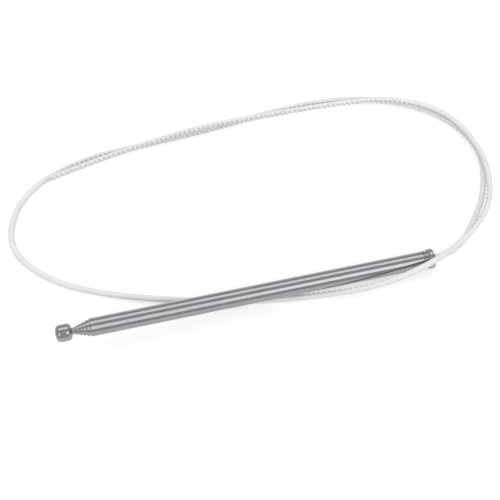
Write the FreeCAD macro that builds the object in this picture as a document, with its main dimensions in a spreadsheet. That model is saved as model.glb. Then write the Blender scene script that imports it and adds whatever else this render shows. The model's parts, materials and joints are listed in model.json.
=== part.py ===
"""Telescopic antenna mast with its toothed nylon drive cable, lying retracted on a flat surface.

Each piece of the mast is turned about its own Z axis, with the foot of the mast at zero and the tip up,
and is then laid down along X with the tip towards -X. Lengths are in millimetres, angles in degrees.
"""
import FreeCAD, Part
import math
import os
import Sketcher

Vector = FreeCAD.Vector

doc = FreeCAD.newDocument("antenna_mast")

# Driving dimensions
SIZES = {
    # Nest of sections
    "main_tube_radius": 5.0,
    "main_tube_length": 188.8,
    "tube_wall": 0.35,
    "tube_gap": 0.27,
    "lip_length": 1.0,
    "lip_gap": 0.08,
    "lip_roll": 0.4,
    "lip_step": 1.92,
    # Friction shoe at the foot of each sliding section
    "shoe_length": 8.0,
    "shoe_clearance": 0.05,
    "shoe_arc": 320.0,
    # Button on the rod
    "button_radius": 4.8,
    "button_length": 8.9,
    "button_round": 2.7,
    "button_dimple_radius": 1.9,
    "button_dimple_depth": 0.25,
    "rod_spigot_radius": 1.3,
    "rod_spigot_length": 5.0,
    "fit_clearance": 0.02,
    # Collar at the foot of the mast
    "flange_radius": 5.7,
    "flange_length": 3.2,
    "flange_chamfer": 0.4,
    "neck_radius": 4.9,
    "neck_length": 1.4,
    "ring_seat_radius": 4.4,
    "ring_radius": 5.2,
    "ring_width": 1.3,
    "ring_round": 0.5,
    "groove_radius": 4.6,
    "groove_width": 0.6,
    "collar_spigot_length": 9.5,
    # Guide bush for the cable
    "guide_clearance": 0.25,
    "bush_wall": 0.6,
    "bush_head_radius": 4.0,
    "bush_head_thickness": 1.2,
    "bush_mouth_chamfer": 0.35,
    # Cable and its ferrule
    "cable_radius": 1.7,
    "cable_split_depth": 2.0,
    "cable_split_gap": 0.3,
    "ferrule_wall": 0.3,
    "ferrule_length": 8.4,
    "foot_clearance": 0.4,
    # The mast lies a little nose up, over the strand of cable under it
    "rest_tilt": 2.2,
}

# Sections from the fixed tube inwards: the last one is the solid rod
SECTIONS = ["mast_tube", "stage_tube_5", "stage_tube_4", "stage_tube_3", "stage_tube_2", "tip_rod"]
ROD = len(SECTIONS) - 1

# Hand-set route of the free cable after it has left the collar: round the loop, under the mast and round again
CABLE_ROUTE = [
    (137.5, 17.0, 3.6), (152.5, 37.0, 1.7), (161.0, 66.5, 1.7), (145.5, 96.0, 1.7),
    (114.5, 115.5, 1.7), (77.0, 123.5, 1.7), (38.0, 122.0, 1.7), (-1.0, 118.0, 1.7),
    (-40.0, 117.0, 1.7), (-79.0, 115.0, 1.7), (-115.5, 99.0, 1.7), (-128.0, 65.5, 1.7),
    (-105.5, 37.5, 1.7), (-73.0, 21.5, 1.7), (-37.0, 9.5, 1.7), (1.0, -0.5, 1.7),
    (39.5, -6.0, 1.7), (73.0, -10.5, 7.5), (101.5, -7.5, 14.2), (129.0, 5.0, 12.0),
    (152.0, 26.5, 8.0), (160.0, 60.0, 5.7), (148.5, 95.0, 5.7), (117.0, 113.0, 5.7),
    (78.5, 116.5, 5.7), (40.5, 118.0, 5.7), (2.5, 119.0, 5.7), (-36.0, 115.0, 5.7),
    (-67.0, 110.0, 5.7), (-96.0, 104.0, 5.7),
]
CABLE_LEAD = 14.0  # straight run out of the collar
CABLE_ARC_SHARE = 0.45  # share of the shorter run that an arc takes up


def fill_sheet(sizes):
    """Write the driving dimensions to a spreadsheet, one aliased cell each."""
    sheet = doc.addObject("Spreadsheet::Sheet", "Sheet")
    for row, (alias, value) in enumerate(sizes.items(), start=1):
        sheet.set(f"A{row}", alias)
        sheet.set(f"B{row}", str(value))
        sheet.setAlias(f"B{row}", alias)
    doc.recompute()
    return sheet


sheet = fill_sheet(SIZES)


def size(alias):
    """Value of one driving dimension."""
    return float(sheet.get(alias))


# Expressions that several pieces share
COLLAR_LENGTH = "(Sheet.flange_length + Sheet.neck_length + Sheet.ring_width + Sheet.groove_width)"
COLLAR_TOP = f"({COLLAR_LENGTH} + Sheet.collar_spigot_length)"
BUSH_TOP = f"({COLLAR_TOP} + Sheet.bush_head_thickness)"
BUSH_BORE = "(Sheet.cable_radius + Sheet.guide_clearance)"
BUSH_RADIUS = f"({BUSH_BORE} + Sheet.bush_wall)"
SECTION_FOOT = f"({BUSH_TOP} + Sheet.foot_clearance)"
FERRULE_TOP = f"({SECTION_FOOT} + Sheet.ferrule_length)"
CABLE_TOP = f"({SECTION_FOOT} + Sheet.ferrule_length / 2)"


def outer_radius(section):
    """Outer radius of a section, counted from the fixed tube inwards."""
    return f"(Sheet.main_tube_radius - {section} * (Sheet.tube_wall + Sheet.tube_gap))"


def bore_radius(section):
    """Bore radius of a tube section."""
    return f"({outer_radius(section)} - Sheet.tube_wall)"


def section_top(section):
    """Height of a section's rolled end above the foot of the mast, all sections down."""
    return f"({COLLAR_LENGTH} + Sheet.main_tube_length + {section} * Sheet.lip_step)"


MAST_LENGTH = f"({section_top(ROD)} + Sheet.button_length)"


def lay_down(piece):
    """Lay a piece along X with its tip raised by the rest tilt and the flange on the floor."""
    tilt = "(Sheet.rest_tilt * 1 deg)"
    piece.Placement = FreeCAD.Placement(Vector(), FreeCAD.Rotation(Vector(0, 1, 0), -90))
    end_faces = "(Sheet.button_radius - Sheet.button_round - Sheet.flange_radius)"
    along = f"({MAST_LENGTH} * cos({tilt}) + {end_faces} * sin({tilt})) / 2"
    height = f"Sheet.flange_radius * cos({tilt}) - Sheet.flange_chamfer * sin({tilt})"
    piece.setExpression("Placement.Base.x", along)
    piece.setExpression("Placement.Base.z", height)
    piece.setExpression("Placement.Rotation.Angle", f"90 deg - {tilt}")
    piece.Placement.Rotation.Axis = Vector(0, -1, 0)


def turned(label, profile, arc=None):
    """Revolve a closed profile of (radius, height) expressions about the mast's axis."""
    body = doc.addObject("PartDesign::Body", label)
    body.Label = label
    sketch = body.newObject("Sketcher::SketchObject", f"{label}_profile")
    plane = next(p for p in body.Origin.OriginFeatures if p.Role == "XZ_Plane")
    sketch.AttachmentSupport = (plane, [""])
    sketch.MapMode = "FlatFace"
    corners = len(profile)
    rough = [Vector(2 + math.cos(k), 2 + math.sin(k), 0) for k in range(corners)]
    for k in range(corners):
        sketch.addGeometry(Part.LineSegment(rough[k], rough[(k + 1) % corners]))
    for k in range(corners):
        sketch.addConstraint(Sketcher.Constraint("Coincident", k, 2, (k + 1) % corners, 1))
    for k, (radius, height) in enumerate(profile):
        for kind, value in (("DistanceX", radius), ("DistanceY", height)):
            place = sketch.addConstraint(Sketcher.Constraint(kind, -1, 1, k, 1, 1.0))
            sketch.setExpression(f"Constraints[{place}]", value)
    revolution = body.newObject("PartDesign::Revolution", f"{label}_turning")
    revolution.Profile = sketch
    revolution.ReferenceAxis = (sketch, ["V_Axis"])
    revolution.Angle = 360.0
    if arc:
        revolution.setExpression("Angle", arc)
    lay_down(body)
    doc.recompute()
    return body


def rim(body, corner):
    """Name of the circular edge that a corner of the body's profile sweeps."""
    point = doc.getObject(f"{body.Label}_profile").Geometry[corner].StartPoint
    for number, edge in enumerate(body.Tip.Shape.Edges, start=1):
        curve = edge.Curve
        if not isinstance(curve, Part.Circle):
            continue
        if abs(curve.Radius - point.x) < 1e-4 and abs(curve.Center.z - point.y) < 1e-4:
            return f"Edge{number}"
    raise RuntimeError(f"{body.Label} has no rim at corner {corner}")


def soften(body, kind, corners, amount):
    """Round or chamfer the rims at some corners of a turned body's profile."""
    base = body.Tip
    rims = [rim(body, corner) for corner in corners]
    feature = body.newObject(f"PartDesign::{kind}", f"{body.Label}_{kind.lower()}")
    feature.Base = (base, rims)
    feature.setExpression("Radius" if kind == "Fillet" else "Size", amount)
    doc.recompute()
    return body


def tube(section, foot):
    """Tube section whose end is rolled in to a lip close round the section inside it."""
    bore = bore_radius(section)
    top = section_top(section)
    lip = f"{outer_radius(section + 1)} + Sheet.lip_gap"
    under_lip = f"{top} - Sheet.lip_length"
    profile = [
        (bore, foot), (outer_radius(section), foot), (outer_radius(section), top),
        (lip, top), (lip, under_lip), (bore, under_lip),
    ]
    return soften(turned(SECTIONS[section], profile), "Fillet", [2], "Sheet.lip_roll")


def friction_shoe(section, foot):
    """Split spring ring on a section's foot: it rubs in the bore outside and stops under its lip."""
    inside = outer_radius(section)
    outside = f"{bore_radius(section - 1)} - Sheet.shoe_clearance"
    top = f"{foot} + Sheet.shoe_length"
    profile = [(inside, foot), (outside, foot), (outside, top), (inside, top)]
    label = SECTIONS[section].replace("tip_", "").replace("tube_", "") + "_shoe"
    return turned(label, profile, arc="Sheet.shoe_arc")


def tip_rod():
    """Solid rod with a spigot for the button above and one for the ferrule below."""
    shoulder = section_top(ROD)
    tip = f"{shoulder} + Sheet.rod_spigot_length"
    profile = [
        ("0", CABLE_TOP), ("Sheet.cable_radius", CABLE_TOP), ("Sheet.cable_radius", FERRULE_TOP),
        (outer_radius(ROD), FERRULE_TOP), (outer_radius(ROD), shoulder),
        ("Sheet.rod_spigot_radius", shoulder), ("Sheet.rod_spigot_radius", tip), ("0", tip),
    ]
    return turned("tip_rod", profile)


def tip_button():
    """Barrel-shaped button with a blind bore for the rod and a shallow dimple on its end."""
    back = section_top(ROD)
    socket = "Sheet.rod_spigot_radius + Sheet.fit_clearance"
    socket_end = f"{back} + Sheet.rod_spigot_length + Sheet.fit_clearance"
    dimple_floor = f"{MAST_LENGTH} - Sheet.button_dimple_depth"
    profile = [
        (socket, back), ("Sheet.button_radius", back), ("Sheet.button_radius", MAST_LENGTH),
        ("Sheet.button_dimple_radius", MAST_LENGTH), ("0", dimple_floor), ("0", socket_end), (socket, socket_end),
    ]
    return soften(turned("tip_button", profile), "Fillet", [1, 2], "Sheet.button_round")


def base_collar():
    """Turned collar: flange, neck, seat of the crimp ring, groove and the spigot inside the fixed tube."""
    bore = f"{BUSH_RADIUS} + Sheet.fit_clearance"
    neck_foot = "Sheet.flange_length"
    seat_foot = f"{neck_foot} + Sheet.neck_length"
    seat_top = f"{seat_foot} + Sheet.ring_width"
    spigot = f"{bore_radius(0)} - Sheet.fit_clearance"
    profile = [
        (bore, "0"), ("Sheet.flange_radius", "0"), ("Sheet.flange_radius", neck_foot),
        ("Sheet.neck_radius", neck_foot), ("Sheet.neck_radius", seat_foot),
        ("Sheet.ring_seat_radius", seat_foot), ("Sheet.ring_seat_radius", seat_top),
        ("Sheet.groove_radius", seat_top), ("Sheet.groove_radius", COLLAR_LENGTH),
        (spigot, COLLAR_LENGTH), (spigot, COLLAR_TOP), (bore, COLLAR_TOP),
    ]
    return soften(turned("base_collar", profile), "Chamfer", [1, 2], "Sheet.flange_chamfer")


def collar_crimp_ring():
    """Rounded ring pressed into the collar's seat."""
    inside = "Sheet.ring_seat_radius + Sheet.fit_clearance"
    outside = "Sheet.ring_radius"
    wall = f"({outside} - ({inside}))"
    foot = "Sheet.flange_length + Sheet.neck_length + Sheet.fit_clearance"
    top = "Sheet.flange_length + Sheet.neck_length + Sheet.ring_width - Sheet.fit_clearance"
    profile = [(inside, foot), (outside, foot), (outside, top), (inside, top)]
    return soften(turned("collar_crimp_ring", profile), "Fillet", [1, 2], f"min(Sheet.ring_round; 0.7 * {wall})")


def cable_guide_bush():
    """Headed plastic bush in the collar, with a chamfered mouth where the cable leaves."""
    head = "Sheet.bush_head_radius"
    profile = [
        (BUSH_BORE, "0"), (BUSH_RADIUS, "0"), (BUSH_RADIUS, COLLAR_TOP),
        (head, COLLAR_TOP), (head, BUSH_TOP), (BUSH_BORE, BUSH_TOP),
    ]
    return soften(turned("cable_guide_bush", profile), "Chamfer", [0], "Sheet.bush_mouth_chamfer")


def cable_ferrule():
    """Crimped sleeve that joins the cable's end to the foot of the rod."""
    bore = "Sheet.cable_radius + Sheet.fit_clearance"
    outside = f"{bore} + Sheet.ferrule_wall"
    profile = [(bore, SECTION_FOOT), (outside, SECTION_FOOT), (outside, FERRULE_TOP), (bore, FERRULE_TOP)]
    return turned("cable_ferrule", profile)


def inner_cable():
    """End of the cable inside the mast, from the guide bush up to the foot of the rod."""
    foot = "Sheet.cable_split_depth + Sheet.cable_split_gap"
    profile = [("0", foot), ("Sheet.cable_radius", foot), ("Sheet.cable_radius", CABLE_TOP), ("0", CABLE_TOP)]
    return turned("inner_cable", profile)


def rounded_path(points):
    """Straight runs through the points, joined by arcs as large as the shorter run allows."""
    edges = []
    radii = []
    start = points[0]
    for before, corner, after in zip(points, points[1:], points[2:]):
        ahead = (after - corner).normalize()
        back = (before - corner).normalize()
        half_turn = (math.pi - ahead.getAngle(back)) / 2
        trim = CABLE_ARC_SHARE * min((corner - before).Length, (after - corner).Length)
        radius = trim / math.tan(half_turn)
        inward = (ahead + back).normalize()
        middle = corner + inward * (radius / math.cos(half_turn) - radius)
        arc_start = corner + back * trim
        arc_end = corner + ahead * trim
        edges.append(Part.LineSegment(start, arc_start).toShape())
        edges.append(Part.Arc(arc_start, middle, arc_end).toShape())
        radii.append(radius)
        start = arc_end
    edges.append(Part.LineSegment(start, points[-1]).toShape())
    print("cable radii:", " ".join(f"{radius:.0f}" for radius in radii))
    return Part.Wire(edges)


def drive_cable(collar):
    """Free toothed cable as a plain round tube, from inside the guide bush to its bare end."""
    start = collar.Placement.multVec(Vector(0, 0, size("cable_split_depth")))
    lead = collar.Placement.multVec(Vector(0, 0, -CABLE_LEAD))
    path = doc.addObject("Part::Feature", "cable_path")
    path.Shape = rounded_path([start, lead] + [Vector(*point) for point in CABLE_ROUTE])
    section = doc.addObject("Part::Circle", "cable_section")
    section.setExpression("Radius", "Sheet.cable_radius")
    section.Placement = FreeCAD.Placement(start, FreeCAD.Rotation(Vector(0, 0, 1), lead - start))
    cable = doc.addObject("Part::Sweep", "drive_cable")
    cable.Label = "drive_cable"
    cable.Sections = [section]
    cable.Spine = (path, [f"Edge{k}" for k in range(1, len(path.Shape.Edges) + 1)])
    cable.Solid = True
    cable.Frenet = False
    doc.recompute()
    length = path.Shape.Length
    expected = math.pi * size("cable_radius") ** 2 * length
    print(f"cable length {length:.1f}, volume {cable.Shape.Volume:.1f}, section times length {expected:.1f}")
    return cable


def check(pieces):
    """Stop if any object failed or any piece isn't one or more valid solids."""
    for item in doc.Objects:
        if "Invalid" in item.State or "Error" in item.State:
            raise RuntimeError(f"{item.Name} failed: {item.State}")
    for piece in pieces:
        if piece.Shape.isNull() or not piece.Shape.isValid() or not piece.Shape.Solids:
            raise RuntimeError(f"{piece.Label} has no valid solid")


def export(pieces):
    """Write each piece to its own file."""
    os.makedirs("parts", exist_ok=True)
    for piece in pieces:
        piece.Shape.exportStep(f"parts/{piece.Label}.step")
        box = piece.Shape.BoundBox
        print(f"{piece.Label}: volume {piece.Shape.Volume:.2f}, "
              f"x {box.XMin:.2f} to {box.XMax:.2f}, z {box.ZMin:.2f} to {box.ZMax:.2f}")


def main():
    """Build every piece, check it and write it out."""
    collar = base_collar()
    pieces = [collar, collar_crimp_ring(), cable_guide_bush(), tube(0, COLLAR_LENGTH)]
    for section in range(1, ROD):
        pieces.append(tube(section, SECTION_FOOT))
        pieces.append(friction_shoe(section, SECTION_FOOT))
    pieces += [tip_rod(), friction_shoe(ROD, FERRULE_TOP), tip_button(), cable_ferrule(), inner_cable()]
    pieces.append(drive_cable(collar))
    doc.recompute()
    check(pieces)
    export(pieces)


main()
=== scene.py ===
"""Retracted telescopic antenna mast with a looped, toothed nylon drive cable on a pale floor."""
import json
import logging
import math
from dataclasses import dataclass, field
from enum import Enum
from typing import Any, Sequence

import bmesh
import bpy
from mathutils import Matrix, Vector


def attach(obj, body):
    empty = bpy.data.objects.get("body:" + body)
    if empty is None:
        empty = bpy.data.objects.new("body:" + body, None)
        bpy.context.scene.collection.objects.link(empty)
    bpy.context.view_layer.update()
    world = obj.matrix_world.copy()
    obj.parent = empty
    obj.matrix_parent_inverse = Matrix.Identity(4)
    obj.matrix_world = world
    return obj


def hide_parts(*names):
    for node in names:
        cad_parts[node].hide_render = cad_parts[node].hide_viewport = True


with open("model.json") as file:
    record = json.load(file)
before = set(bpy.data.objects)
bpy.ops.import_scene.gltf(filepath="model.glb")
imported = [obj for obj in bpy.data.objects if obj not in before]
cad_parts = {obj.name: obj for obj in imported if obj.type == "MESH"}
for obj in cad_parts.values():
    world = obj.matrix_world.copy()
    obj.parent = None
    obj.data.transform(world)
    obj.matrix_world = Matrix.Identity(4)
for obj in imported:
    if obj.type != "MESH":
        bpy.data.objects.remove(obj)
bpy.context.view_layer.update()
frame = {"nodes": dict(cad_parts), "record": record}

LOG = logging.getLogger("antenna_mast")
MM = 0.001
MERGE_DISTANCE = 1e-7
RIM_TOLERANCE = 1e-6

Profile = list[tuple[float, float]]
Triple = tuple[float, float, float]


class Value:
    """A shader value whose arithmetic adds Math nodes."""

    def __init__(self, graph: "Graph", socket: bpy.types.NodeSocket) -> None:
        """Wrap one output socket of a graph."""
        self.graph = graph
        self.socket = socket

    def _math(self, operation: str, *inputs: Any) -> "Value":
        """Add one Math node and return its result."""
        return self.graph.node("ShaderNodeMath", {"operation": operation}, dict(enumerate(inputs)))

    def __add__(self, other: Any) -> "Value":
        """Sum."""
        return self._math("ADD", self, other)

    __radd__ = __add__

    def __mul__(self, other: Any) -> "Value":
        """Product."""
        return self._math("MULTIPLY", self, other)

    __rmul__ = __mul__

    def larger(self, other: Any) -> "Value":
        """The larger of two values."""
        return self._math("MAXIMUM", self, other)

    def stretch(self, low: float, high: float) -> "Value":
        """Map the range low..high to 0..1, clamped."""
        inputs = {"Value": self, "From Min": low, "From Max": high}
        return self.graph.node("ShaderNodeMapRange", {"clamp": True}, inputs)


class Graph:
    """Node tree of a material or a world."""

    def __init__(self, tree: bpy.types.NodeTree) -> None:
        """Start from an empty tree."""
        self.tree = tree
        tree.nodes.clear()

    def node(self, kind: str, settings: dict[str, Any] | None = None, inputs: dict[Any, Any] | None = None,
             output: int | str = 0) -> Value:
        """Add one node.

        Args:
            kind: The node's type name.
            settings: Properties that are set before the sockets.
            inputs: Values or links by socket name or number.
            output: The output socket to return.

        Returns:
            The wrapped output socket.
        """
        node = self.tree.nodes.new(kind)
        for name, value in (settings or {}).items():
            setattr(node, name, value)
        for name, value in (inputs or {}).items():
            if isinstance(value, Value):
                self.tree.links.new(value.socket, node.inputs[name])
            else:
                node.inputs[name].default_value = value
        return Value(self, node.outputs[output] if node.outputs else None)

    def place(self, scale: Sequence[float] = (1, 1, 1), turn: Sequence[float] = (0, 0, 0)) -> Value:
        """Object coordinates, turned and scaled."""
        spot = self.node("ShaderNodeTexCoord", output="Object")
        return self.node("ShaderNodeMapping", {}, {"Vector": spot, "Scale": scale, "Rotation": turn})

    def noise(self, where: Value, scale: float, detail: float = 3.0, roughness: float = 0.5) -> Value:
        """Grey noise at a place."""
        inputs = {"Vector": where, "Scale": scale, "Detail": detail, "Roughness": roughness}
        return self.node("ShaderNodeTexNoise", {}, inputs)

    def mix(self, share: Any, first: Any, second: Any) -> Value:
        """Blend of two colours."""
        inputs = {"Factor": share, 6: first, 7: second}
        return self.node("ShaderNodeMix", {"data_type": "RGBA"}, inputs, output=2)

    def bump(self, height: Value, strength: float, distance: float) -> Value:
        """Normal that follows a height."""
        inputs = {"Height": height, "Strength": strength, "Distance": distance}
        return self.node("ShaderNodeBump", {}, inputs, output="Normal")

    def principled(self, **sockets: Any) -> None:
        """Close the tree with a Principled shader.

        Args:
            sockets: Values or links by socket name, with an underscore for each space.
        """
        inputs = {name.replace("_", " "): value for name, value in sockets.items()}
        shader = self.node("ShaderNodeBsdfPrincipled", {}, inputs)
        self.node("ShaderNodeOutputMaterial", {}, {"Surface": shader})


def rgba(colour: Triple) -> tuple[float, float, float, float]:
    """Colour with full alpha."""
    return (*colour, 1.0)


@dataclass(frozen=True)
class Finish:
    """Base of the finishes: makes its material once and hands it out."""

    name: str

    def material(self) -> bpy.types.Material:
        """Make the finish's material on first use.

        Returns:
            The material, the same one each time.
        """
        found = bpy.data.materials.get(self.name)
        if found:
            return found
        made = bpy.data.materials.new(self.name)
        made.use_nodes = True
        self.paint(Graph(made.node_tree))
        return made

    def paint(self, graph: Graph) -> None:
        """Fill the node tree."""
        raise NotImplementedError


@dataclass(frozen=True)
class ChromePlate(Finish):
    """Bright plating with faint draw lines along the tube and a light film of handling marks."""

    name: str = "drawn_chrome"
    colour: Triple = (0.34, 0.343, 0.348)
    dull: Triple = (0.28, 0.283, 0.29)
    tilt: float = 0.0
    line_scale: Triple = (12.0, 1500.0, 1500.0)
    film_scale: float = 180.0
    least_roughness: float = 0.05
    line_depth: float = 0.00002

    def paint(self, graph: Graph) -> None:
        """Fill the node tree.

        Args:
            graph: The material's empty tree.
        """
        along = graph.place(scale=self.line_scale, turn=(0.0, -self.tilt, 0.0))
        lines = graph.noise(along, 1.0, 2.0).stretch(0.35, 0.7)
        film = graph.noise(graph.place(), self.film_scale, 4.0, 0.6).stretch(0.4, 0.75)
        graph.principled(
            Base_Color=graph.mix(film * 0.5 + lines * 0.3, rgba(self.colour), rgba(self.dull)),
            Metallic=1.0,
            Roughness=lines * 0.035 + film * 0.05 + self.least_roughness,
            Normal=graph.bump(lines, 0.03, self.line_depth),
        )


@dataclass(frozen=True)
class TurnedSteel(Finish):
    """Plated steel with fine tool rings round the mast's axis."""

    name: str = "tool_ringed_steel"
    colour: Triple = (0.36, 0.36, 0.365)
    dark: Triple = (0.27, 0.273, 0.28)
    tilt: float = 0.0
    ring_scale: Triple = (3000.0, 30.0, 30.0)
    film_scale: float = 260.0
    least_roughness: float = 0.12
    ring_depth: float = 0.00003

    def paint(self, graph: Graph) -> None:
        """Fill the node tree.

        Args:
            graph: The material's empty tree.
        """
        rings = graph.noise(graph.place(scale=self.ring_scale, turn=(0.0, -self.tilt, 0.0)), 1.0, 2.0)
        film = graph.noise(graph.place(), self.film_scale, 4.0)
        graph.principled(
            Base_Color=graph.mix(film.stretch(0.35, 0.7), rgba(self.colour), rgba(self.dark)),
            Metallic=1.0,
            Roughness=rings * 0.1 + self.least_roughness,
            Normal=graph.bump(rings, 0.08, self.ring_depth),
        )


@dataclass(frozen=True)
class SpringBronze(Finish):
    """Plain rolled bronze with a slight tarnish."""

    name: str = "tarnished_bronze"
    colour: Triple = (0.66, 0.45, 0.2)
    tarnish: Triple = (0.38, 0.24, 0.11)
    patch_scale: float = 420.0
    least_roughness: float = 0.25

    def paint(self, graph: Graph) -> None:
        """Fill the node tree.

        Args:
            graph: The material's empty tree.
        """
        patches = graph.noise(graph.place(), self.patch_scale, 5.0, 0.6).stretch(0.4, 0.72)
        graph.principled(
            Base_Color=graph.mix(patches, rgba(self.colour), rgba(self.tarnish)),
            Metallic=1.0,
            Roughness=patches * 0.2 + self.least_roughness,
        )


@dataclass(frozen=True)
class MilkyNylon(Finish):
    """Natural moulded nylon: milky white, softly glossy, with a faint grain."""

    name: str = "milky_nylon"
    colour: Triple = (0.83, 0.83, 0.822)
    shade: Triple = (0.75, 0.75, 0.742)
    cloud_scale: float = 55.0
    grain_scale: float = 2600.0
    grain_depth: float = 0.00004
    least_roughness: float = 0.34
    ior: float = 1.53

    def paint(self, graph: Graph) -> None:
        """Fill the node tree.

        Args:
            graph: The material's empty tree.
        """
        cloud = graph.noise(graph.place(), self.cloud_scale, 3.0).stretch(0.3, 0.72)
        grain = graph.noise(graph.place(), self.grain_scale, 2.0)
        graph.principled(
            Base_Color=graph.mix(cloud * 0.6 + grain * 0.2, rgba(self.colour), rgba(self.shade)),
            Roughness=grain * 0.12 + self.least_roughness,
            Normal=graph.bump(grain, 0.12, self.grain_depth),
            IOR=self.ior,
        )


@dataclass(frozen=True)
class PaleFloor(Finish):
    """White floor that keeps a soft shadow and stays white to the camera and in the metal."""

    name: str = "pale_floor"
    colour: Triple = (0.66, 0.66, 0.66)
    shade: Triple = (0.62, 0.62, 0.62)
    lift: float = 0.46
    grain_scale: float = 40.0

    def paint(self, graph: Graph) -> None:
        """Fill the node tree.

        Args:
            graph: The material's empty tree.
        """
        camera = graph.node("ShaderNodeLightPath", output="Is Camera Ray")
        glossy = graph.node("ShaderNodeLightPath", output="Is Glossy Ray")
        clear = graph.node("ShaderNodeLightPath", output="Is Transmission Ray")
        seen = camera.larger(glossy).larger(clear)
        grain = graph.noise(graph.place(), self.grain_scale, 2.0)
        graph.principled(
            Base_Color=graph.mix(grain * 0.04, rgba(self.colour), rgba(self.shade)),
            Roughness=0.9,
            Specular_IOR_Level=0.0,
            Emission_Color=graph.mix(seen, rgba((0.0, 0.0, 0.0)), rgba((self.lift,) * 3)),
            Emission_Strength=1.0,
        )


class Section(Enum):
    """Sections of the nest, from the fixed tube inwards."""

    MAST_TUBE = 0
    STAGE_TUBE_5 = 1
    STAGE_TUBE_4 = 2
    STAGE_TUBE_3 = 3
    STAGE_TUBE_2 = 4
    TIP_ROD = 5

    @property
    def node(self) -> str:
        """Name of the section's node."""
        return self.name.lower()


@dataclass
class Lathe:
    """Turns profiles about the mast's axis and lays them where the mast lies."""

    place: Matrix
    segments: int = 160
    smooth_angle: float = math.radians(32)

    def turn(self, name: str, profile: Profile, rounds: dict[int, float],
             steps: int = 6) -> bpy.types.Object:
        """Spin one closed profile.

        Args:
            name: Name of the piece.
            profile: Corners as (radius, height) in millimetres, heights from the foot of the mast.
            rounds: Rounding radius in millimetres by the number of the corner.
            steps: Segments of each rounding.

        Returns:
            The finished piece at the origin.
        """
        mesh = bmesh.new()
        corners = [mesh.verts.new((radius * MM, 0.0, height * MM)) for radius, height in profile]
        edges = [mesh.edges.new((a, b)) for a, b in zip(corners, corners[1:] + corners[:1])]
        bmesh.ops.spin(mesh, geom=corners + edges, cent=(0, 0, 0), axis=(0, 0, 1), angle=math.tau,
                       steps=self.segments, use_merge=True)
        bmesh.ops.remove_doubles(mesh, verts=mesh.verts, dist=MERGE_DISTANCE)
        bmesh.ops.dissolve_degenerate(mesh, edges=mesh.edges, dist=MERGE_DISTANCE)
        bmesh.ops.recalc_face_normals(mesh, faces=mesh.faces)
        for corner, radius in rounds.items():
            rim = self._rim(mesh, *profile[corner])
            bmesh.ops.bevel(mesh, geom=rim, offset=radius * MM, affect="EDGES", segments=steps,
                            profile=0.5, material=-1, offset_type="OFFSET", clamp_overlap=True)
        bmesh.ops.transform(mesh, matrix=self.place, verts=mesh.verts)
        return finished(name, mesh, self.smooth_angle)

    @staticmethod
    def _rim(mesh: bmesh.types.BMesh, radius: float, height: float) -> list[bmesh.types.BMEdge]:
        """Find the edges of one circle.

        Args:
            mesh: The turned mesh, with its axis on Z.
            radius: Radius of the circle in millimetres.
            height: Height of the circle in millimetres.

        Returns:
            The edges of that circle.
        """
        def on_rim(vert: bmesh.types.BMVert) -> bool:
            """True for a vertex of that circle."""
            off = abs(math.hypot(vert.co.x, vert.co.y) - radius * MM)
            return off < RIM_TOLERANCE and abs(vert.co.z - height * MM) < RIM_TOLERANCE
        return [edge for edge in mesh.edges if all(on_rim(vert) for vert in edge.verts)]


def finished(name: str, mesh: bmesh.types.BMesh, smooth_angle: float) -> bpy.types.Object:
    """Make an object of a mesh, smooth but crisp at its corners.

    Args:
        name: Name of the piece.
        mesh: The mesh, which is freed.
        smooth_angle: Corners sharper than this, in radians, stay crisp.

    Returns:
        The piece at the origin.
    """
    data = bpy.data.meshes.new(name)
    for face in mesh.faces:
        face.smooth = True
    mesh.to_mesh(data)
    mesh.free()
    data.set_sharp_from_angle(angle=smooth_angle)
    piece = bpy.data.objects.new(name, data)
    bpy.context.scene.collection.objects.link(piece)
    return piece


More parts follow.
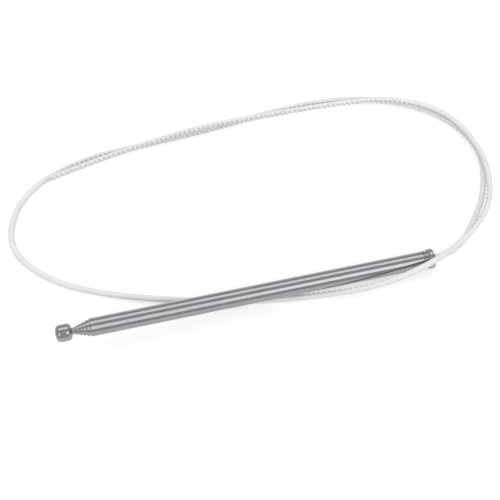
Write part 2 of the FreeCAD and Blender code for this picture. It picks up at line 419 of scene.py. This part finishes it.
@dataclass
class Mast:
    """The nest of tubes, its button and its foot, in millimetres along the mast's axis."""

    tilt: float = math.radians(2.2)
    tube_radius: float = 5.0
    tube_length: float = 188.8
    wall: float = 0.35
    gap: float = 0.27
    lip_length: float = 1.0
    lip_gap: float = 0.08
    lip_roll: float = 0.4
    lip_step: float = 1.92
    button_radius: float = 4.8
    button_length: float = 8.9
    button_round: float = 2.7
    button_round_steps: int = 10
    barrel_margin: float = 0.3
    dimple_radius: float = 1.9
    dimple_depth: float = 0.25
    socket_radius: float = 1.32
    socket_depth: float = 5.02
    collar_length: float = 6.5
    flange_radius: float = 5.7
    flange_chamfer: float = 0.4
    section_foot: float = 17.6
    bush_colour: Triple = (0.74, 0.74, 0.7)
    bronze_nodes: tuple[str, ...] = (
        "stage_5_shoe", "stage_4_shoe", "stage_3_shoe", "stage_2_shoe", "rod_shoe", "cable_ferrule",
    )
    bodies: dict[str, str] = field(default_factory=dict)

    @property
    def length(self) -> float:
        """Length of the mast with its sections down."""
        return self.top(Section.TIP_ROD) + self.button_length

    @property
    def place(self) -> Matrix:
        """Where the foot of the mast lies, with the mast's axis as Z.

        Returns:
            The matrix from the mast's own frame, in metres.
        """
        end_faces = self.button_radius - self.button_round - self.flange_radius
        along = (self.length * math.cos(self.tilt) + end_faces * math.sin(self.tilt)) / 2
        height = self.flange_radius * math.cos(self.tilt) - self.flange_chamfer * math.sin(self.tilt)
        turn = Matrix.Rotation(self.tilt - math.pi / 2, 4, "Y")
        return Matrix.Translation((along * MM, 0.0, height * MM)) @ turn

    def radius(self, section: Section) -> float:
        """Outer radius of a section."""
        return self.tube_radius - section.value * (self.wall + self.gap)

    def top(self, section: Section) -> float:
        """Height of a section's rolled end."""
        return self.collar_length + self.tube_length + section.value * self.lip_step

    def on_axis(self, height: float) -> Vector:
        """Point on the mast's axis at a height above its foot, in metres."""
        return self.place @ Vector((0.0, 0.0, height * MM))

    def build(self) -> None:
        """Make the turned pieces that show and dress every node of the mast."""
        chrome = ChromePlate(tilt=self.tilt)
        lathe = Lathe(self.place)
        for section in list(Section)[:-1]:
            self._fit(self._tube(lathe, section), section.node, chrome)
        self._fit(self._button(lathe), "tip_button", chrome)
        self._dress("tip_rod", chrome)
        self._dress("collar_crimp_ring", chrome)
        self._dress("base_collar", TurnedSteel(tilt=self.tilt))
        self._dress("cable_guide_bush", MilkyNylon(name="bush_nylon", colour=self.bush_colour))
        self._dress("inner_cable", MilkyNylon())
        for node in self.bronze_nodes:
            self._dress(node, SpringBronze())

    def _tube(self, lathe: Lathe, section: Section) -> bpy.types.Object:
        """Turn one tube with its rolled lip.

        Args:
            lathe: The lathe that turns it.
            section: Which tube of the nest.

        Returns:
            The turned tube.
        """
        outside = self.radius(section)
        bore = outside - self.wall
        lip = self.radius(Section(section.value + 1)) + self.lip_gap
        top = self.top(section)
        under = top - self.lip_length
        foot = self.collar_length if section is Section.MAST_TUBE else self.section_foot
        straight = top - 2 * self.lip_roll
        profile = [
            (bore, foot), (outside, foot), (outside, straight), (outside, top), (lip, top), (lip, under),
            (bore, under),
        ]
        return lathe.turn(f"{section.node}_turned", profile, {3: self.lip_roll})

    def _button(self, lathe: Lathe) -> bpy.types.Object:
        """Turn the barrel button with its rounded ends, its dimple and the socket for the rod.

        Args:
            lathe: The lathe that turns it.

        Returns:
            The turned button.
        """
        back = self.top(Section.TIP_ROD)
        tip = self.length
        socket_end = back + self.socket_depth
        barrel = self.button_round + self.barrel_margin
        profile = [
            (self.socket_radius, back), (self.button_radius, back), (self.button_radius, back + barrel),
            (self.button_radius, tip - barrel), (self.button_radius, tip), (self.dimple_radius, tip),
            (0.0, tip - self.dimple_depth), (0.0, socket_end), (self.socket_radius, socket_end),
        ]
        rounds = {1: self.button_round, 4: self.button_round}
        return lathe.turn("tip_button_turned", profile, rounds, steps=self.button_round_steps)

    def _fit(self, piece: bpy.types.Object, node: str, finish: Finish) -> None:
        """Let a turned piece stand for its node.

        Args:
            piece: The turned piece.
            node: The node that it replaces.
            finish: What it is dressed in.
        """
        piece.data.materials.append(finish.material())
        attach(piece, self.bodies[node])
        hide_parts(node)
        LOG.info("%s stands for %s", piece.name, node)

    @staticmethod
    def _dress(node: str, finish: Finish) -> None:
        """Give a CAD node its finish.

        Args:
            node: The node's name.
            finish: What it is dressed in.
        """
        materials = frame["nodes"][node].data.materials
        materials.clear()
        materials.append(finish.material())
        LOG.info("%s is dressed in %s", node, finish.name)


@dataclass
class DriveCable:
    """Toothed nylon cable that leaves the foot of the mast, loops round and ends bare."""

    mast: Mast
    radius: float = 1.7
    pitch: float = 3.0
    crest: float = 1.5
    valley: float = 0.45
    crest_share: float = 0.40
    flank_share: float = 0.12
    sides: int = 28
    smooth_angle: float = math.radians(34)
    lead: float = 14.0
    split_depth: float = 2.0
    route_steps: int = 48
    route_order: int = 3
    route: list[Triple] = field(default_factory=lambda: [
        (137.5, 17.0, 3.6), (152.5, 37.0, 1.7), (161.0, 66.5, 1.7), (145.5, 96.0, 1.7),
        (114.5, 115.5, 1.7), (77.0, 123.5, 1.7), (38.0, 122.0, 1.7), (-1.0, 118.0, 1.7),
        (-40.0, 117.0, 1.7), (-79.0, 115.0, 1.7), (-115.5, 99.0, 1.7), (-128.0, 65.5, 1.7),
        (-105.5, 37.5, 1.7), (-73.0, 21.5, 1.7), (-37.0, 9.5, 1.7), (1.0, -0.5, 1.7),
        (39.5, -6.0, 1.7), (73.0, -10.5, 7.5), (101.5, -7.5, 14.2), (129.0, 5.0, 12.0),
        (152.0, 26.5, 8.0), (160.0, 60.0, 5.7), (148.5, 95.0, 5.7), (117.0, 113.0, 5.7),
        (78.5, 116.5, 5.7), (40.5, 118.0, 5.7), (2.5, 119.0, 5.7), (-36.0, 115.0, 5.7),
        (-67.0, 110.0, 5.7), (-96.0, 104.0, 5.7),
    ])
    # Turn of the toothed side from facing into the loop, upwards positive: (millimetres along, degrees)
    twist: list[tuple[float, float]] = field(default_factory=lambda: [
        (0, -100), (70, -100), (98, -48), (165, -44), (225, -8), (260, 0), (330, 10), (362, 0),
        (395, -50), (425, -85), (500, -70), (590, -62), (612, -5), (645, 12), (662, -50), (698, -60),
        (714, -2), (724, -5), (740, -18), (765, -62), (805, -62), (840, -30), (900, -6), (980, 5),
        (1080, 10),
    ])

    def build(self) -> None:
        centres = self._centres()
        piece = self._teeth(centres)
        piece.data.materials.append(MilkyNylon().material())
        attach(piece, self.mast.bodies["drive_cable"])
        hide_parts("drive_cable")
        length = sum((b - a).length for a, b in zip(centres, centres[1:]))
        tuple(self.mast.on_axis(0.0))
        LOG.info("%s is %.3f m long", piece.name, length)

    def _centres(self) -> list[Vector]:
        """Read the centre line of the cable from a smooth spline through its route.

        Returns:
            Closely spaced points from the foot of the mast to the bare end, in metres.
        """
        points = [self.mast.on_axis(self.split_depth), self.mast.on_axis(-self.lead)]
        points += [Vector(point) * MM for point in self.route]
        curve = bpy.data.curves.new("cable_route", "CURVE")
        curve.dimensions = "3D"
        curve.resolution_u = self.route_steps
        spline = curve.splines.new("NURBS")
        spline.points.add(len(points) - 1)
        for control, point in zip(spline.points, points):
            control.co = (*point, 1.0)
        spline.order_u = self.route_order
        spline.use_endpoint_u = True
        holder = bpy.data.objects.new("cable_route", curve)
        line = bpy.data.meshes.new_from_object(holder)
        centres = [vert.co.copy() for vert in line.vertices]
        bpy.data.objects.remove(holder)
        bpy.data.curves.remove(curve)
        bpy.data.meshes.remove(line)
        return centres

    def _stations(self, length: float) -> list[tuple[float, float]]:
        """List the places where the toothed side changes its height.

        Args:
            length: Length of the cable in metres.

        Returns:
            Places along the cable, in metres, each with the height of its toothed side, in millimetres.
        """
        flank = self.flank_share * self.pitch
        crest = self.crest_share * self.pitch
        valley = self.pitch - crest - 2 * flank
        steps = [(0.0, self.crest), (crest, self.crest), (crest + flank, self.valley),
                 (crest + flank + valley, self.valley)]
        teeth = int(length / MM / self.pitch)
        places = [
            ((tooth * self.pitch + step) * MM, height) for tooth in range(teeth) for step, height in steps
        ]
        return places + [(teeth * self.pitch * MM, self.crest), (length, self.crest)]

    def _twist_at(self, along: float) -> float:
        """Ease from one entry of the twist table to the next.

        Args:
            along: Place along the cable in metres.

        Returns:
            Turn of the toothed side there, in radians.
        """
        place = along / MM
        for (start, first), (end, second) in zip(self.twist, self.twist[1:]):
            if place <= end:
                share = (place - start) / (end - start)
                eased = share * share * (3 - 2 * share)
                return math.radians(first + (second - first) * eased)
        return math.radians(self.twist[-1][1])

    def _teeth(self, centres: list[Vector]) -> bpy.types.Object:
        """Extrude the cable's outline from station to station along its centre line.

        Args:
            centres: The centre line in metres.

        Returns:
            The toothed cable.
        """
        reach = [0.0]
        for a, b in zip(centres, centres[1:]):
            reach.append(reach[-1] + (b - a).length)
        mesh = bmesh.new()
        start = bmesh.ops.create_circle(mesh, cap_ends=True, radius=self.radius * MM, segments=self.sides)
        ring = start["verts"]
        ring_edges: list[bmesh.types.BMEdge] = []
        outline = [(vert.co.x, vert.co.y) for vert in ring]
        index = 0
        for number, (along, height) in enumerate(self._stations(reach[-1])):
            while index < len(reach) - 2 and reach[index + 1] < along:
                index += 1
            span = reach[index + 1] - reach[index]
            centre = centres[index].lerp(centres[index + 1], min(1.0, (along - reach[index]) / span))
            ahead = (centres[min(index + 2, len(centres) - 1)] - centres[max(index - 1, 0)]).normalized()
            if number:
                ring = self._grow(mesh, ring, ring_edges)
            ring_edges = [mesh.edges.get((a, b)) for a, b in zip(ring, ring[1:] + ring[:1])]
            self._shape(ring, outline, centre, ahead, self._twist_at(along), height)
        bmesh.ops.contextual_create(mesh, geom=ring_edges)
        bmesh.ops.recalc_face_normals(mesh, faces=mesh.faces)
        return finished("toothed_cable", mesh, self.smooth_angle)

    @staticmethod
    def _grow(mesh: bmesh.types.BMesh, ring: list[bmesh.types.BMVert],
              edges: list[bmesh.types.BMEdge]) -> list[bmesh.types.BMVert]:
        """Extrude a ring.

        Args:
            mesh: The cable's mesh.
            ring: The ring's vertices.
            edges: The ring's edges.

        Returns:
            The vertices of the new ring, in the same order.
        """
        old = set(ring)
        heirs = {}
        for item in bmesh.ops.extrude_edge_only(mesh, edges=edges)["geom"]:
            if isinstance(item, bmesh.types.BMVert):
                near = [edge.other_vert(item) for edge in item.link_edges]
                heirs[next(vert for vert in near if vert in old)] = item
        return [heirs[vert] for vert in ring]

    @staticmethod
    def _shape(ring: list[bmesh.types.BMVert], outline: list[tuple[float, float]], centre: Vector,
               ahead: Vector, twist: float, height: float) -> None:
        """Move one ring to its station, with its toothed side cut off flat.

        Args:
            ring: The ring's vertices.
            outline: Where they lie on a round cable, in metres.
            centre: The station's place.
            ahead: Direction of the cable there.
            twist: Turn of the toothed side in radians.
            height: Height of the toothed side above the centre, in millimetres.
        """
        inward = Vector((0, 0, 1)).cross(ahead).normalized()
        upward = ahead.cross(inward)
        tooth = inward * math.cos(twist) + upward * math.sin(twist)
        side = ahead.cross(tooth)
        for vert, (across, out) in zip(ring, outline):
            vert.co = centre + side * across + tooth * min(out, height * MM)


@dataclass(frozen=True)
class Softbox:
    """One rectangular lamp: its place, what it faces, its width and height in metres and its watts."""

    name: str
    spot: Triple
    aim: Triple
    size: tuple[float, float]
    power: float

    def hang(self) -> None:
        """Make the lamp."""
        light = bpy.data.lights.new(self.name, "AREA")
        light.shape = "RECTANGLE"
        light.size, light.size_y = self.size
        light.energy = self.power
        lamp = bpy.data.objects.new(self.name, light)
        lamp.location = self.spot
        lamp.rotation_euler = (Vector(self.aim) - Vector(self.spot)).to_track_quat("-Z", "Y").to_euler()
        bpy.context.scene.collection.objects.link(lamp)


@dataclass
class Studio:
    """Floor, world, soft lamps and the camera."""

    azimuth: float = -13.67
    elevation: float = 62.0
    distance: float = 0.5754
    lens: float = 72.0
    sensor_width: float = 36.0
    clip_start: float = 0.01
    aim: Triple = (0.0082, 0.0324, 0.0)
    floor_size: float = 20.0
    surroundings: Triple = (0.67, 0.67, 0.68)
    lamps: tuple[Softbox, ...] = (
        Softbox("front_softbox", (0.5, -0.70, 0.97), (0.5, 0.0, 0.0), (1.2, 0.80), 3.35),
        Softbox("left_softbox", (-0.7, -0.70, 0.97), (-0.7, 0.0, 0.0), (0.9, 0.80), 2.6),
        Softbox("back_softbox", (0.0, 0.68, 0.99), (0.0, 0.0, 0.0), (1.3, 0.66), 3.0),
        Softbox("side_softbox", (0.52, -0.62, 0.88), (0.05, 0.0, 0.0), (0.7, 0.6), 0.5),
    )

    def build(self) -> None:
        """Make everything round the object."""
        self._floor()
        self._world()
        for lamp in self.lamps:
            lamp.hang()
        self._camera()
        bpy.context.scene.view_settings.view_transform = "Standard"

    def _floor(self) -> None:
        """Lay the pale floor under the object."""
        mesh = bmesh.new()
        bmesh.ops.create_grid(mesh, x_segments=1, y_segments=1, size=self.floor_size / 2)
        data = bpy.data.meshes.new("floor")
        mesh.to_mesh(data)
        mesh.free()
        data.materials.append(PaleFloor().material())
        floor = bpy.data.objects.new("floor", data)
        bpy.context.scene.collection.objects.link(floor)

    def _world(self) -> None:
        """Make soft pale grey surroundings."""
        world = bpy.data.worlds.new("studio")
        world.use_nodes = True
        bpy.context.scene.world = world
        graph = Graph(world.node_tree)
        light = graph.node("ShaderNodeBackground", {}, {"Color": rgba(self.surroundings), "Strength": 1.0})
        graph.node("ShaderNodeOutputWorld", {}, {"Surface": light})

    def _camera(self) -> None:
        """Set the camera at the photograph's viewing angle."""
        data = bpy.data.cameras.new("camera")
        data.lens = self.lens
        data.sensor_width = self.sensor_width
        data.clip_start = self.clip_start
        camera = bpy.data.objects.new("camera", data)
        turn = math.radians(self.azimuth)
        rise = math.radians(self.elevation)
        back = Vector((math.sin(turn) * math.cos(rise), -math.cos(turn) * math.cos(rise), math.sin(rise)))
        camera.location = Vector(self.aim) + back * self.distance
        camera.rotation_euler = (-back).to_track_quat("-Z", "Y").to_euler()
        bpy.context.scene.collection.objects.link(camera)
        bpy.context.scene.camera = camera


def main() -> None:
    """Build the object and its studio."""
    logging.basicConfig(level=logging.INFO, format="%(name)s: %(message)s")
    bodies = frame["record"]["behaviour"]["bodies"]
    mast = Mast(bodies={node: body for body, nodes in bodies.items() for node in nodes})
    mast.build()
    DriveCable(mast).build()
    Studio().build()


if __name__ == "__main__":
    main()
